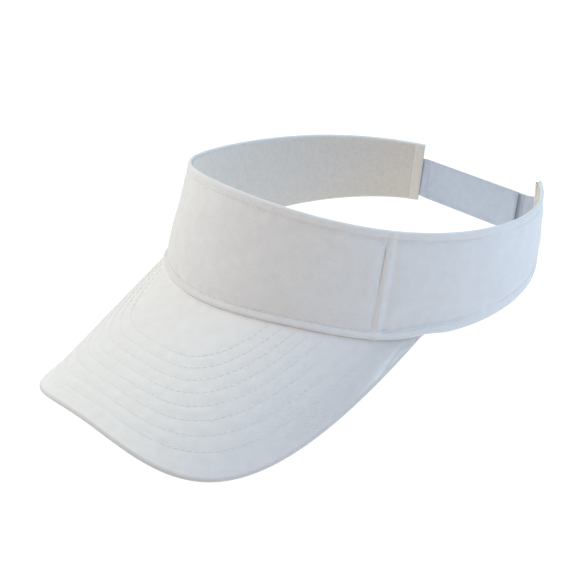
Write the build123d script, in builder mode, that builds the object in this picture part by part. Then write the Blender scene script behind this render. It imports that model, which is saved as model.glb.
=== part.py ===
"""Cotton twill sun visor with an arched bill and a hook-and-loop strap at the back.

The shapes are worked out in the worn frame: millimetres, +Z up along the band,
the bill towards -Y and the wearer's left towards +X. The visor is then laid on
a flat surface, as it comes to rest on it: on the low edges of its bill and on
the ends of its band.
"""
import os
from math import ceil, cos, floor, radians, sin, sqrt

from build123d import *

os.makedirs("parts", exist_ok=True)

# How the visor lies, and where the worn frame's origin is above the surface
REST_PITCH = 20.3
ORIGIN_Y = 53.2
ORIGIN_Z = 62.0

# Band: an ellipse in plan, narrower at its top edge than at its bottom edge
HALF_WIDTH = 89.6
HALF_LENGTH = 102.5
TOP_INSET_SIDE = 4.0
TOP_INSET_FRONT = 8.8
TOP_OUTSET_REAR = 3.8
TOP_WAVE_TWO = 2.1
TOP_WAVE_THREE = 1.5
SEAM_ANGLE = 56.5
BILL_TIP_ANGLE = 72.0
END_ANGLE = 151.7
END_HEIGHT = -32.9
WING_BOW = 3.8
WING_SKEW = -9.0
STATION_STEP = 6.0
SHORT_STATION_STEP = 2.0

# Cloth layers of the band, as distances outwards from its outer face
PANEL = (-0.6, 0.0)
INTERLINING = (-1.3, -0.65)
LINING = (-2.35, -1.35)
HEM = (-2.85, -2.4)
BINDING = (-2.75, 0.35)
BINDING_HEIGHT = 3.0
CLOTH_GAP = 0.3
THREAD = (0.05, 0.4)
THREAD_WIDTH = 0.5
SEAM_GAP = 0.15
SEAM_TAPE_REACH = 3.4
HEM_ANGLE = 3.6
SEAM_STITCH_ANGLE = 1.1
THREAD_ANGLE = 0.3
HEM_THREAD = (-3.2, -2.9)
HEM_ROW_ANGLE = 0.5
TOP_STITCH_DEPTH = 4.2

# Bill: straight from front to back, arched across, and cut to a rounded outline
BILL_ROOT_HEIGHT = -53.0
BILL_SLOPE = 0.85
ARCH_SQUARE = 0.00416
ARCH_FOURTH = 5.4e-7
ARCH_HALF_SPAN = 92.0
ARCH_POINTS = 15
BILL_HALF_WIDTH = 85.3
BILL_TIP_Y = -31.7
BILL_FRONT_Y = -162.8
BILL_SIDE_HANDLE = 116.0
BILL_FRONT_HANDLE = 59.5
BILL_TOP_COVER = (-0.6, 0.0)
BILL_BOARD = (-2.25, -0.65)
BILL_UNDER_COVER = (-2.9, -2.3)
TOP_COVER_INSET = 2.2
BOARD_INSET = 4.6
UNDER_COVER_INSET = 5.2
WELT_RADIUS = 1.5
WELT_STATIONS = 14
WELT_START = 0.03
BOARD_STANDOFF = 1.0
ALLOWANCE_HEIGHT = 10.0
STITCH_ROWS = 8
FIRST_ROW_INSET = 7.2
ROW_PITCH = 4.4

# Flex lines, where each side of the band bends as the strap is let out
FLEX_Y = 48.6
FLEX_GAP = 1.3
PAST_FLEX = 104.0
BEFORE_FLEX = 76.0

# Strap: tape from each end of the band, meeting in hook and loop
STRAP_HEIGHT = 22.5
STRAP_MIDDLE = -18.4
OUTER_STRAP_DROP = 0.8
TAPE = 0.6
STRAP_START_X = 39.7
INNER_STRAP_Y = 87.85
INNER_STRAP_END_X = 31.5
LOOP_FACE = (88.5, 89.3)
HOOK_FACE = (89.6, 90.1)
OUTER_STRAP_Y = 90.15
JOG_START_X = 39.2
JOG_END_X = 35.8
BASE_END_X = 34.4
PEEL_GAP = 1.2
TONGUE_END_X = -36.5
PATCH_MARGIN = 1.0
STRAP_ROOT_ANGLE = 137.0
STRAP_STITCH = 0.25

CUT_HEIGHT = 4 * HALF_LENGTH
JOIN_ANGLE = radians(BILL_TIP_ANGLE)
END = radians(END_ANGLE)


def laid(point):
    """Turn a point or a direction of the worn frame to the resting pose."""
    return Vector(point).rotate(Axis.X, -REST_PITCH)


def row(point):
    """Give a worn-frame point's place in the part's own frame."""
    return laid(point) + Vector(0, ORIGIN_Y, ORIGIN_Z)


def worn_plane(origin, x_dir, z_dir):
    """Place a plane that is described in the worn frame."""
    return Plane(origin=row(origin), x_dir=laid(x_dir), z_dir=laid(z_dir))


cut_plane = worn_plane((0, 0, -CUT_HEIGHT / 2), (1, 0, 0), (0, 0, 1))
arch_plane = worn_plane((0, 0, 0), (1, 0, 0), (0, -1, 0))
strap_plane = worn_plane((0, 0, STRAP_MIDDLE), (1, 0, 0), (0, 0, 1))
flex_plane = Plane(origin=(0, FLEX_Y, 0), x_dir=(1, 0, 0), z_dir=(0, 1, 0))


# ---- Bill surface -------------------------------------------------------------
def arch_drop(x):
    """How far the arch has fallen at a distance x from the middle."""
    return ARCH_SQUARE * x**2 + ARCH_FOURTH * x**4


def bill_height(x, y):
    """Height of the bill's top face over a point in plan."""
    return BILL_ROOT_HEIGHT + BILL_SLOPE * (y + HALF_LENGTH) - arch_drop(x)


def arch_point(x, outwards):
    """Point of the bill's profile at y = 0, moved square to its face."""
    steepness = 2 * ARCH_SQUARE * x + 4 * ARCH_FOURTH * x**3
    length = sqrt(1 + BILL_SLOPE**2 + steepness**2)
    side = x + outwards * steepness / length
    height = bill_height(x, 0) + outwards * (1 + BILL_SLOPE**2) / length
    return (side, height)


def arch_points(outwards):
    """Points along the whole arch, evenly spaced across the bill."""
    step = 2 * ARCH_HALF_SPAN / (ARCH_POINTS - 1)
    return [arch_point(step * i - ARCH_HALF_SPAN, outwards) for i in range(ARCH_POINTS)]


def outline_points(inset):
    """Control points of the bill's right-hand edge in plan, drawn in from it."""
    width = BILL_HALF_WIDTH - inset
    length = BILL_TIP_Y - BILL_FRONT_Y - inset
    side_handle = BILL_SIDE_HANDLE * length / (BILL_TIP_Y - BILL_FRONT_Y)
    front_handle = BILL_FRONT_HANDLE * width / BILL_HALF_WIDTH
    front_y = BILL_TIP_Y - length
    return [
        (width, BILL_TIP_Y),
        (width, BILL_TIP_Y - side_handle),
        (front_handle, front_y),
        (0, front_y),
    ]


def bill_outline(inset):
    """Bill outline in plan, drawn in from its edge, and run back under the band."""
    width = BILL_HALF_WIDTH - inset
    with BuildSketch() as outline:
        with BuildLine():
            edge = Bezier(*outline_points(inset))
            mirror(edge, about=Plane.YZ)
            Polyline((width, BILL_TIP_Y), (width, 0), (-width, 0), (-width, BILL_TIP_Y))
        make_face()
    return outline.sketch


def bill_normal(x):
    """Unit normal of the bill's top face, which is the same all along its length."""
    steepness = 2 * ARCH_SQUARE * x + 4 * ARCH_FOURTH * x**3
    return Vector(steepness, -BILL_SLOPE, 1).normalized()


def welt_centre(share, sign):
    """Centre of the rolled edge, from the tip of the bill (0) to its front (1)."""
    edge = Bezier(*outline_points(WELT_RADIUS / 2)) @ share
    x, y = sign * edge.X, edge.Y
    return Vector(x, y, bill_height(x, y)) - bill_normal(x) * WELT_RADIUS


def bill_layer(layer, inset, standoff):
    """Sheet of the bill between two depths, from an inset edge to the band.

    The sheet stops at a standoff from the band's outer face.
    """
    inner, outer = layer
    with BuildPart() as sheet:
        with BuildSketch(arch_plane):
            with BuildLine():
                upper = Spline(*arch_points(outer))
                lower = Spline(*arch_points(inner))
                Line(upper @ 0, lower @ 0)
                Line(upper @ 1, lower @ 1)
            make_face()
        extrude(amount=-BILL_FRONT_Y * 1.5, dir=laid((0, -1, -BILL_SLOPE)))
        with BuildSketch(cut_plane):
            add(bill_outline(inset))
            Ellipse(HALF_WIDTH + standoff, HALF_LENGTH + standoff, mode=Mode.SUBTRACT)
        extrude(amount=CUT_HEIGHT, mode=Mode.INTERSECT)
    return sheet.part


# ---- Band surface -------------------------------------------------------------
def top_point(angle):
    """Point on the top edge, at an angle from the middle of the front."""
    front = (1 + cos(angle)) / 2
    x = (HALF_WIDTH - TOP_INSET_SIDE) * sin(angle)
    y = -HALF_LENGTH * cos(angle) + TOP_INSET_FRONT * front - TOP_OUTSET_REAR * (1 - front)
    z = TOP_WAVE_TWO * cos(2 * angle) + TOP_WAVE_THREE * cos(3 * angle)
    return Vector(x, y, z)


def bottom_point(angle):
    """Point on the bottom edge: on the bill as far as its tips, then free."""
    x = HALF_WIDTH * sin(angle)
    y = -HALF_LENGTH * cos(angle)
    if abs(angle) <= JOIN_ANGLE:
        return Vector(x, y, bill_height(x, y))
    tip_x = HALF_WIDTH * sin(JOIN_ANGLE)
    tip_height = bill_height(tip_x, -HALF_LENGTH * cos(JOIN_ANGLE))
    share = (abs(angle) - JOIN_ANGLE) / (END - JOIN_ANGLE)
    bow = share * (1 - share) * (WING_BOW + WING_SKEW * (1 - 2 * share))
    return Vector(x, y, tip_height + (END_HEIGHT - tip_height) * share + bow)


def band_height(angle):
    """Slant height of the band at an angle."""
    return (top_point(angle) - bottom_point(angle)).length


def section_plane(angle):
    """Plane across the band: x outwards, y up its face from the bottom edge."""
    up = (top_point(angle) - bottom_point(angle)).normalized()
    outwards = Vector(HALF_LENGTH * sin(angle), -HALF_WIDTH * cos(angle), 0)
    return worn_plane(bottom_point(angle), outwards - up * outwards.dot(up), outwards.cross(up))


def stations(first, last):
    """Angles of a strip's sections: its ends, and a shared grid in between."""
    low, high = min(first, last), max(first, last)
    step = STATION_STEP if high - low > 2 * STATION_STEP else SHORT_STATION_STEP
    grid = [step * i for i in range(ceil(low / step), floor(high / step) + 1)]
    inside = [angle for angle in grid if low + step / 3 < angle < high - step / 3]
    return [low, *inside, high]


def band_strip(first, last, layer, low, high):
    """Strip of cloth along the band, between two angles in degrees.

    low and high give the strip's edges as heights up the band's face.
    """
    inner, outer = layer
    with BuildPart() as strip:
        for angle in map(radians, stations(first, last)):
            bottom, top = low(angle), high(angle)
            with BuildSketch(section_plane(angle)):
                with BuildLine():
                    Polyline((inner, bottom), (outer, bottom), (outer, top), (inner, top), close=True)
                make_face()
        loft()
    return strip.part


def above_foot(height):
    """Height measured up from the bottom edge."""
    return lambda angle: height


def below_top(depth):
    """Height measured down from the top edge."""
    return lambda angle: band_height(angle) - depth


body_low = above_foot(BINDING_HEIGHT + CLOTH_GAP)
body_high = below_top(BINDING_HEIGHT + CLOTH_GAP)


def crown_part(first, last, layer, low, high):
    """Strip that is cut off where the sides of the band start to flex."""
    with BuildPart() as piece:
        add(band_strip(first, last, layer, low, high))
        split(bisect_by=flex_plane.offset(-FLEX_GAP / 2), keep=Keep.BOTTOM)
    return piece.part


def wing_part(first, last, layer, low, high):
    """Strip behind the flex line of one side."""
    with BuildPart() as piece:
        add(band_strip(first, last, layer, low, high))
        split(bisect_by=flex_plane.offset(FLEX_GAP / 2), keep=Keep.TOP)
    return piece.part


def keep(name, part):
    """Label a finished piece and write it."""
    part.label = name
    export_step(part, f"parts/{name}.step")


# ---- Bill ---------------------------------------------------------------------
keep("bill_top_cover", bill_layer(BILL_TOP_COVER, TOP_COVER_INSET, 0))
keep("bill_board", bill_layer(BILL_BOARD, BOARD_INSET, BOARD_STANDOFF))
keep("bill_under_cover", bill_layer(BILL_UNDER_COVER, UNDER_COVER_INSET, 0))

shares = [WELT_START + (1 - WELT_START) * i / WELT_STATIONS for i in range(WELT_STATIONS + 1)]
welt_path = [welt_centre(share, 1) for share in shares]
welt_path += [welt_centre(share, -1) for share in reversed(shares[:-1])]
with BuildPart() as bill_edge_welt:
    for i, centre in enumerate(welt_path):
        before, after = welt_path[max(i - 1, 0)], welt_path[min(i + 1, len(welt_path) - 1)]
        with BuildSketch(worn_plane(centre, bill_normal(centre.X), after - before)):
            Circle(WELT_RADIUS)
    loft()
keep("bill_edge_welt", bill_edge_welt.part)


def stitch_ridge(inset):
    """Ridge of thread along the bill, at an inset from its edge."""
    with BuildPart() as ridge:
        add(bill_layer(THREAD, inset, BINDING[1] + CLOTH_GAP))
        with BuildSketch(cut_plane):
            add(bill_outline(inset + THREAD_WIDTH))
        extrude(amount=CUT_HEIGHT, mode=Mode.SUBTRACT)
    return ridge.part


with BuildPart() as bill_stitching:
    for row_number in range(STITCH_ROWS):
        add(stitch_ridge(FIRST_ROW_INSET + ROW_PITCH * row_number))
keep("bill_stitching", bill_stitching.part)

# ---- Front and fixed sides of the band ------------------------------------------
top_low = below_top(BINDING_HEIGHT)
top_high = below_top(0)
foot_low = above_foot(CLOTH_GAP)
foot_high = above_foot(BINDING_HEIGHT)
row_low = below_top(TOP_STITCH_DEPTH + THREAD_WIDTH)
row_high = below_top(TOP_STITCH_DEPTH)

front_end = SEAM_ANGLE - SEAM_GAP
buckram_end = SEAM_ANGLE - SEAM_TAPE_REACH - SEAM_GAP
allowance_high = above_foot(ALLOWANCE_HEIGHT)
tape_low = above_foot(ALLOWANCE_HEIGHT + CLOTH_GAP)
bill_end = BILL_TIP_ANGLE - SEAM_GAP
keep("front_panel", band_strip(-front_end, front_end, PANEL, body_low, body_high))
keep("bill_seam_allowance", band_strip(-bill_end, bill_end, INTERLINING, body_low, allowance_high))
keep("front_buckram", band_strip(-buckram_end, buckram_end, INTERLINING, tape_low, body_high))

crown_strips = {
    "crown_lining": (LINING, body_low, body_high),
    "crown_top_binding": (BINDING, top_low, top_high),
    "crown_bottom_binding": (BINDING, foot_low, foot_high),
    "crown_top_stitching": (THREAD, row_low, row_high),
}
for name, (layer, low, high) in crown_strips.items():
    keep(name, crown_part(-PAST_FLEX, PAST_FLEX, layer, low, high))

for side, sign in (("left", 1), ("right", -1)):
    side_start = sign * (SEAM_ANGLE + SEAM_GAP)
    tape_start = sign * (SEAM_ANGLE - SEAM_TAPE_REACH)
    tape_end = sign * (SEAM_ANGLE + SEAM_TAPE_REACH)
    row_start = sign * (SEAM_ANGLE + SEAM_STITCH_ANGLE)
    row_end = row_start + sign * THREAD_ANGLE
    seam_high = below_top(TOP_STITCH_DEPTH + 2 * THREAD_WIDTH)
    keep(f"{side}_side_panel", crown_part(side_start, sign * PAST_FLEX, PANEL, body_low, body_high))
    keep(f"{side}_seam_tape", band_strip(tape_start, tape_end, INTERLINING, tape_low, body_high))
    keep(f"{side}_seam_stitching", band_strip(row_start, row_end, THREAD, body_low, seam_high))

# ---- Flexing sides of the band ---------------------------------------------------
wing_strips = {
    "panel": (PANEL, body_low, body_high),
    "lining": (LINING, body_low, body_high),
    "top_binding": (BINDING, top_low, top_high),
    "bottom_binding": (BINDING, foot_low, foot_high),
    "top_stitching": (THREAD, row_low, row_high),
}
for side, sign in (("left", 1), ("right", -1)):
    for name, (layer, low, high) in wing_strips.items():
        strip = wing_part(sign * BEFORE_FLEX, sign * END_ANGLE, layer, low, high)
        keep(f"{side}_wing_{name}", strip)
    hem_start = sign * (END_ANGLE - HEM_ANGLE)
    row_start = hem_start + sign * HEM_ROW_ANGLE
    row_end = row_start + sign * THREAD_ANGLE
    keep(f"{side}_end_hem", band_strip(hem_start, sign * END_ANGLE, HEM, body_low, body_high))
    keep(f"{side}_hem_stitching", band_strip(row_start, row_end, HEM_THREAD, body_low, body_high))


# ---- Strap ------------------------------------------------------------------------
def strap_edge(rise):
    """Edge of a strap's sewn root, level with the free strap's edge."""
    lowest = BINDING_HEIGHT + CLOTH_GAP
    return lambda angle: max(lowest, STRAP_MIDDLE + rise - bottom_point(angle).Z)


def strap_block(x_range, y_range, drop, trim):
    """Flat length of strap, trimmed at its top and bottom edges."""
    x_low, x_high = x_range
    y_low, y_high = y_range
    with BuildPart() as block:
        with BuildSketch(strap_plane.offset(-drop)):
            with Locations(((x_low + x_high) / 2, (y_low + y_high) / 2)):
                Rectangle(x_high - x_low, y_high - y_low)
        extrude(amount=STRAP_HEIGHT / 2 - trim, both=True)
    return block.part


def stitched_frame(x_range, y_range, drop):
    """Row of stitches round a patch, just inside its edges."""
    x_low, x_high = x_range
    inner_x = (x_low + THREAD_WIDTH, x_high - THREAD_WIDTH)
    with BuildPart() as frame:
        add(strap_block(x_range, y_range, drop, PATCH_MARGIN))
        add(strap_block(inner_x, y_range, drop, PATCH_MARGIN + THREAD_WIDTH), mode=Mode.SUBTRACT)
    return frame.part


for name, sign, drop in (("inner", -1, 0), ("outer", 1, OUTER_STRAP_DROP)):
    root_low = strap_edge(-STRAP_HEIGHT / 2 - drop)
    root_high = strap_edge(STRAP_HEIGHT / 2 - drop)
    root = band_strip(sign * STRAP_ROOT_ANGLE, sign * END_ANGLE, INTERLINING, root_low, root_high)
    keep(f"{name}_strap_root", root)

inner_length = (-STRAP_START_X, INNER_STRAP_END_X)
loop_length = (-STRAP_START_X + PATCH_MARGIN, INNER_STRAP_END_X - PATCH_MARGIN)
inner_tape_y = (INNER_STRAP_Y, INNER_STRAP_Y + TAPE)
inner_thread_y = (INNER_STRAP_Y - CLOTH_GAP / 2 - STRAP_STITCH, INNER_STRAP_Y - CLOTH_GAP / 2)
keep("inner_strap", strap_block(inner_length, inner_tape_y, 0, 0))
keep("loop_patch", strap_block(loop_length, LOOP_FACE, 0, PATCH_MARGIN))
keep("inner_strap_stitching", stitched_frame(loop_length, inner_thread_y, 0))

with BuildPart() as outer_strap_base:
    with BuildSketch(strap_plane.offset(-OUTER_STRAP_DROP)):
        with BuildLine():
            Polyline(
                (STRAP_START_X, INNER_STRAP_Y),
                (JOG_START_X, INNER_STRAP_Y),
                (JOG_END_X, OUTER_STRAP_Y),
                (BASE_END_X, OUTER_STRAP_Y),
                (BASE_END_X, OUTER_STRAP_Y + TAPE),
                (JOG_END_X, OUTER_STRAP_Y + TAPE),
                (JOG_START_X, INNER_STRAP_Y + TAPE),
                (STRAP_START_X, INNER_STRAP_Y + TAPE),
                close=True,
            )
        make_face()
    extrude(amount=STRAP_HEIGHT / 2, both=True)
keep("outer_strap_base", outer_strap_base.part)

tongue_length = (TONGUE_END_X, BASE_END_X - PEEL_GAP)
hook_length = (TONGUE_END_X + PATCH_MARGIN, INNER_STRAP_END_X)
outer_tape_y = (OUTER_STRAP_Y, OUTER_STRAP_Y + TAPE)
outer_thread_low = OUTER_STRAP_Y + TAPE + CLOTH_GAP / 2
outer_thread_y = (outer_thread_low, outer_thread_low + STRAP_STITCH)
keep("outer_strap_tongue", strap_block(tongue_length, outer_tape_y, OUTER_STRAP_DROP, 0))
keep("hook_patch", strap_block(hook_length, HOOK_FACE, OUTER_STRAP_DROP, PATCH_MARGIN))
keep("outer_strap_stitching", stitched_frame(hook_length, outer_thread_y, OUTER_STRAP_DROP))
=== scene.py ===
"""Looks of the cotton twill sun visor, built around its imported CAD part.

Shapes are worked out in millimetres in the worn frame, as the CAD part's are: +Z up along
the band, the bill towards -Y and the wearer's left towards +X. placed() turns them to the
way the visor lies and gives metres in the row frame.
"""

import bmesh
import bpy
import numpy as np
from mathutils import Matrix, Vector
from mathutils.kdtree import KDTree


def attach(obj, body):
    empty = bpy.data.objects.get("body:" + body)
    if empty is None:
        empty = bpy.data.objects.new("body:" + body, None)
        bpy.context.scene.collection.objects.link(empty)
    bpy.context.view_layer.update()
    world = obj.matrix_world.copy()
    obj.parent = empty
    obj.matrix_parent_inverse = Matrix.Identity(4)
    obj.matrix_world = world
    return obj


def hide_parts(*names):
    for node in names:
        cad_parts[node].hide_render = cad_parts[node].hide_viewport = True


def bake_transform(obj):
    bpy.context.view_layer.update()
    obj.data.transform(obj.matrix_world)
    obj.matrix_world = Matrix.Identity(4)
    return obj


MM = 0.001

# How the visor lies, and where the worn frame's origin is in the row frame
REST_PITCH = np.radians(20.3)
ORIGIN = np.array([0.0, 53.2, 62.0])

# Band: an ellipse in plan, with angles from the middle of its front
HALF_WIDTH = 89.6
HALF_LENGTH = 102.5
TOP_INSET_SIDE = 4.0
TOP_INSET_FRONT = 8.8
TOP_OUTSET_REAR = 3.8
TOP_WAVE_TWO = 2.1
TOP_WAVE_THREE = 1.5
SEAM = np.radians(56.5)
TIP = np.radians(72.0)
END = np.radians(151.7)
END_HEIGHT = -32.9
WING_BOW = 3.8
WING_SKEW = -9.0
FLARE_START = np.radians(128)
LEFT_FLARE = 4.1
ROW_DEPTH = 4.6
LIP_HEIGHT = 3.6
LIP_SAG = 1.3
LINING_OUT = -1.9
HEM_WIDTH = np.radians(3.3)
ALLOWANCE_LIFT = 0.45
ALLOWANCE_WIDTH = 2.8
SWELL = 0.3
FRONT_SEAM_SINK = 0.22
SIDE_SEAM_SINK = 0.2
END_TUCK = 0.45
ANGLE_STEP = np.radians(0.6)
END_STEP = np.radians(0.2)
ARC_SAMPLES = 721

# Millimetres along the band for each radian, at the seams and at the ends
SEAM_RADIUS = 95
END_RADIUS = 93

# Bill: arched across, straight from front to back, and cut to a rounded outline
BILL_ROOT_HEIGHT = -53.0
BILL_SLOPE = 0.85
ARCH_SQUARE = 0.00416
ARCH_FOURTH = 5.4e-7
BILL_HALF_WIDTH = 85.3
BILL_TIP_Y = -31.7
BILL_LENGTH = 131.1
BILL_SIDE_HANDLE = 116.0
BILL_FRONT_HANDLE = 59.5
CORNER_PULL = 3.5
CORNER_RISE = 0.9
BILL_THICKNESS = 2.9
WELT_RADIUS = 1.5
ROLL_INSET = WELT_RADIUS / 2
UNDER_INSET = 2.2
STITCH_ROWS = 8
FIRST_ROW_INSET = 7.2
ROW_PITCH = 4.4
ROW_STANDOFF = 1.2
ROOT_STANDOFF = 0.2
BILL_ROW_OUT = 0.04
QUILTING = 0.1
QUILTING_REACH = 2.1
CRINKLE = 0.09
CRINKLE_REACH = 1.5
UNDER_QUILTING = 0.7
BILL_COLUMNS = 360
COVER_STEPS = 150
ROW_POINTS = 700
OUTLINE_POINTS = 400
FINE_OUTLINE_POINTS = 6000

# Shares of the way from the bill's edge to the band: where the quilting starts, how far it
# takes to reach its height, and how far in the drawn-out corner is turned up. The under
# cover starts further in, so its turned-up part begins this much into the fall.
QUILTING_START = 0.01
QUILTING_EASE = 0.04
CORNER_SHARE = 0.075
UNDER_LIFT_LEAD = 0.25

# Strap: two tapes that meet in hook and loop
STRAP_HALF_HEIGHT = 11.25
STRAP_MIDDLE = -18.4
OUTER_STRAP_DROP = 0.8
STRAP_ROOT = np.radians(137.0)
STRAP_ROOT_OUT = -1.0
STRAP_FREE_X = 36.5
INNER_STRAP_Y = 88.15
INNER_STRAP_END_X = 31.5
OUTER_STRAP_Y = 90.45
TONGUE_START_X = 34.4
TONGUE_END_X = -36.5
PATCH_MARGIN = 1.0
LOOP_Y = 88.85
LOOP_PILE = 0.55
HOOK_Y = 89.92
HOOK_BASE = 0.3
HOOK_PITCH = 1.5
HOOK_RADIUS = 0.08
HOOK_SINK = 0.13
PATCH_ROUNDING = 0.4
PATCH_ROW_INSET = 0.3
STRAP_ROW_OUT = 0.32
STRAP_LINES = 15

# Cloth thicknesses, then seams and stitches
TWILL = 0.6
BINDING = 0.54
LINING = 0.8
TAPE = 0.6
FOLD = 0.45
SEAM_GAP = np.radians(0.006)
STITCH_LENGTH = 2.5
STITCH_SPACING = 3.2
THREAD_RADIUS = 0.17
FINE_THREAD_RADIUS = 0.13
THREAD_SIDES = 6
LEAST_EDGE = 0.03

# One stitch: places along it from one end (-1) to the other (1), and at each its girth and
# its rise above the cloth, both in thread radii
STITCH_PLACES = np.array([-1, -0.93, -0.6, 0, 0.6, 0.93, 1])
STITCH_GIRTH = np.array([0.3, 0.75, 1, 1, 1, 0.75, 0.3])
STITCH_RISE = np.array([-1.1, -0.5, 0.3, 0.55, 0.3, -0.5, -1.1])

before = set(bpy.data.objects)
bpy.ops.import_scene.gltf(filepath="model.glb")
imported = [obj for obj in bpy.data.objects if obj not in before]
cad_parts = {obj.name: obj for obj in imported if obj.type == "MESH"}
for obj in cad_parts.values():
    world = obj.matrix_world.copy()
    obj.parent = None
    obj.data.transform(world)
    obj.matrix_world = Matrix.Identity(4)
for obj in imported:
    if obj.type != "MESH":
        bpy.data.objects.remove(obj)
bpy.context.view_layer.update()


# ---- Placing and mesh making -----------------------------------------------------
def turned(vectors):
    """Directions of the worn frame, turned to the way the visor lies."""
    x, y, z = np.moveaxis(np.asarray(vectors, float), -1, 0)
    c, s = np.cos(REST_PITCH), np.sin(REST_PITCH)
    return np.stack([x, y * c + z * s, z * c - y * s], -1)


def placed(points):
    """Worn-frame millimetres to row-frame metres."""
    return (turned(points) + ORIGIN) * MM


def unit(vectors):
    """The same directions, at length 1."""
    return vectors / np.maximum(np.linalg.norm(vectors, axis=-1, keepdims=True), 1e-12)


def smooth(values):
    """Eased step from 0 to 1."""
    t = np.clip(values, 0, 1)
    return t * t * (3 - 2 * t)


def bump(values):
    """Soft hump, 1 at zero and nearly 0 beyond two."""
    return np.exp(-np.square(values))


def ripple(u, v, size, seed, count=9):
    """Gentle uneven surface between about -1 and 1, with hollows about size apart."""
    rng = np.random.default_rng(seed)
    total = np.zeros(np.broadcast(u, v).shape)
    for _ in range(count):
        heading, phase, stretch = rng.uniform(0, [np.pi, 2 * np.pi, 1.0])
        wave = 2 * np.pi / (size * (0.7 + stretch))
        total += np.sin(wave * (u * np.cos(heading) + v * np.sin(heading)) + phase)
    return total / 4


def eased(low, high, count, edge):
    """Places from low to high, packed close at both ends so that edges come out round."""
    rounding = edge * np.array([0, 0.1, 0.35])
    inside = np.linspace(low + edge, high - edge, count)
    return np.concatenate([low + rounding, inside, high - rounding[::-1]])


def curve(points, count):
    """Smooth curve through a few given points, or through a few rows of points."""
    p = np.asarray(points, float)
    p = np.concatenate([2 * p[:1] - p[1:2], p, 2 * p[-1:] - p[-2:-1]])
    t = np.linspace(0, len(p) - 3 - 1e-9, count)
    i = t.astype(int)
    f = (t - i).reshape((-1,) + (1,) * (p.ndim - 1))
    a, b, c, d = p[i], p[i + 1], p[i + 2], p[i + 3]
    bend = (2 * a - 5 * b + 4 * c - d) * f**2 + (3 * b - a - 3 * c + d) * f**3
    return b + ((c - a) * f + bend) / 2


def lengths(points, axis):
    """Distance run along the grid in one direction."""
    steps = np.linalg.norm(np.diff(points, axis=axis), axis=-1)
    start = np.zeros_like(np.take(steps, [0], axis=axis))
    return np.cumsum(np.concatenate([start, steps], axis=axis), axis=axis)


def round_angles(sides):
    """Even angles round a tube."""
    return np.linspace(0, 2 * np.pi, sides + 1)[:-1]


def add_object(name, points, faces, uvs, material):
    """Mesh object from row-frame points, with one cloth coordinate a point."""
    mesh = bpy.data.meshes.new(name)
    mesh.from_pydata(points.tolist(), [], faces)
    layer = mesh.uv_layers.new(name="cloth")
    corners = np.zeros(len(mesh.loops), int)
    mesh.loops.foreach_get("vertex_index", corners)
    layer.data.foreach_set("uv", uvs[corners].astype(np.float32).ravel())
    shell = bmesh.new()
    shell.from_mesh(mesh)
    bmesh.ops.recalc_face_normals(shell, faces=shell.faces)
    shell.to_mesh(mesh)
    shell.free()
    mesh.shade_smooth()
    mesh.materials.append(material)
    made = bpy.data.objects.new(name, mesh)
    bpy.context.scene.collection.objects.link(made)
    return made


def cloth(name, middle, thickness, material, square_ends=()):
    """Closed sheet of cloth around a grid of worn-frame points through its middle.

    Its edges are rounded, apart from the grid's ends named in square_ends (0 or -1).
    """
    across, along = lengths(middle, 1), lengths(middle, 0)
    near = [across, across[:, -1:] - across]
    near += [along] if 0 not in square_ends else []
    near += [along[-1:] - along] if -1 not in square_ends else []
    share = np.clip(np.minimum.reduce(near) / (thickness / 2), LEAST_EDGE, 1)
    half = thickness / 2 * np.sqrt(1 - (1 - share) ** 2)
    normal = unit(np.cross(np.gradient(middle, axis=0), np.gradient(middle, axis=1)))
    outer = placed(middle + normal * half[..., None])
    inner = placed(middle - normal * half[..., None])
    stations, width = share.shape
    rings = np.concatenate([outer, inner[:, ::-1]], axis=1)
    uv = np.stack([along, across], -1) * MM
    uv = np.concatenate([uv, uv[:, ::-1]], axis=1)
    index = np.arange(stations * 2 * width).reshape(stations, 2 * width)
    ahead = np.roll(index, -1, axis=1)
    sides = np.stack([index[:-1], index[1:], ahead[1:], ahead[:-1]], -1).reshape(-1, 4)
    caps = []
    for row, turn in ((index[0], 1), (index[-1], -1)):
        there, back = row[:width], row[width:][::-1]
        ends = np.stack([there[:-1], there[1:], back[1:], back[:-1]], -1)
        caps.append(ends[:, ::turn])
    faces = np.concatenate([sides, *caps]).tolist()
    return add_object(name, rings.reshape(-1, 3), faces, uv.reshape(-1, 2), material)


def tubes(name, points, material, uv_step=(0.4, 0.2)):
    """Closed tubes from worn-frame points, held by tube, by ring along it and by side.

    uv_step is how far the cloth coordinate runs for each ring and for each side.
    """
    count, rings, sides, _ = points.shape
    index = np.arange(count * rings * sides).reshape(count, rings, sides)
    ahead = np.roll(index, -1, axis=2)
    skin = np.stack([index[:, :-1], index[:, 1:], ahead[:, 1:], ahead[:, :-1]], -1)
    faces = skin.reshape(-1, 4).tolist() + index[:, 0].tolist() + index[:, -1].tolist()
    place = np.broadcast_to(np.arange(rings)[:, None] * uv_step[0], (count, rings, sides))
    turn = np.broadcast_to(np.arange(sides) * uv_step[1], (count, rings, sides))
    uv = np.stack([place, turn], -1).reshape(-1, 2) * MM
    return add_object(name, placed(points).reshape(-1, 3), faces, uv, material)


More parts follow.
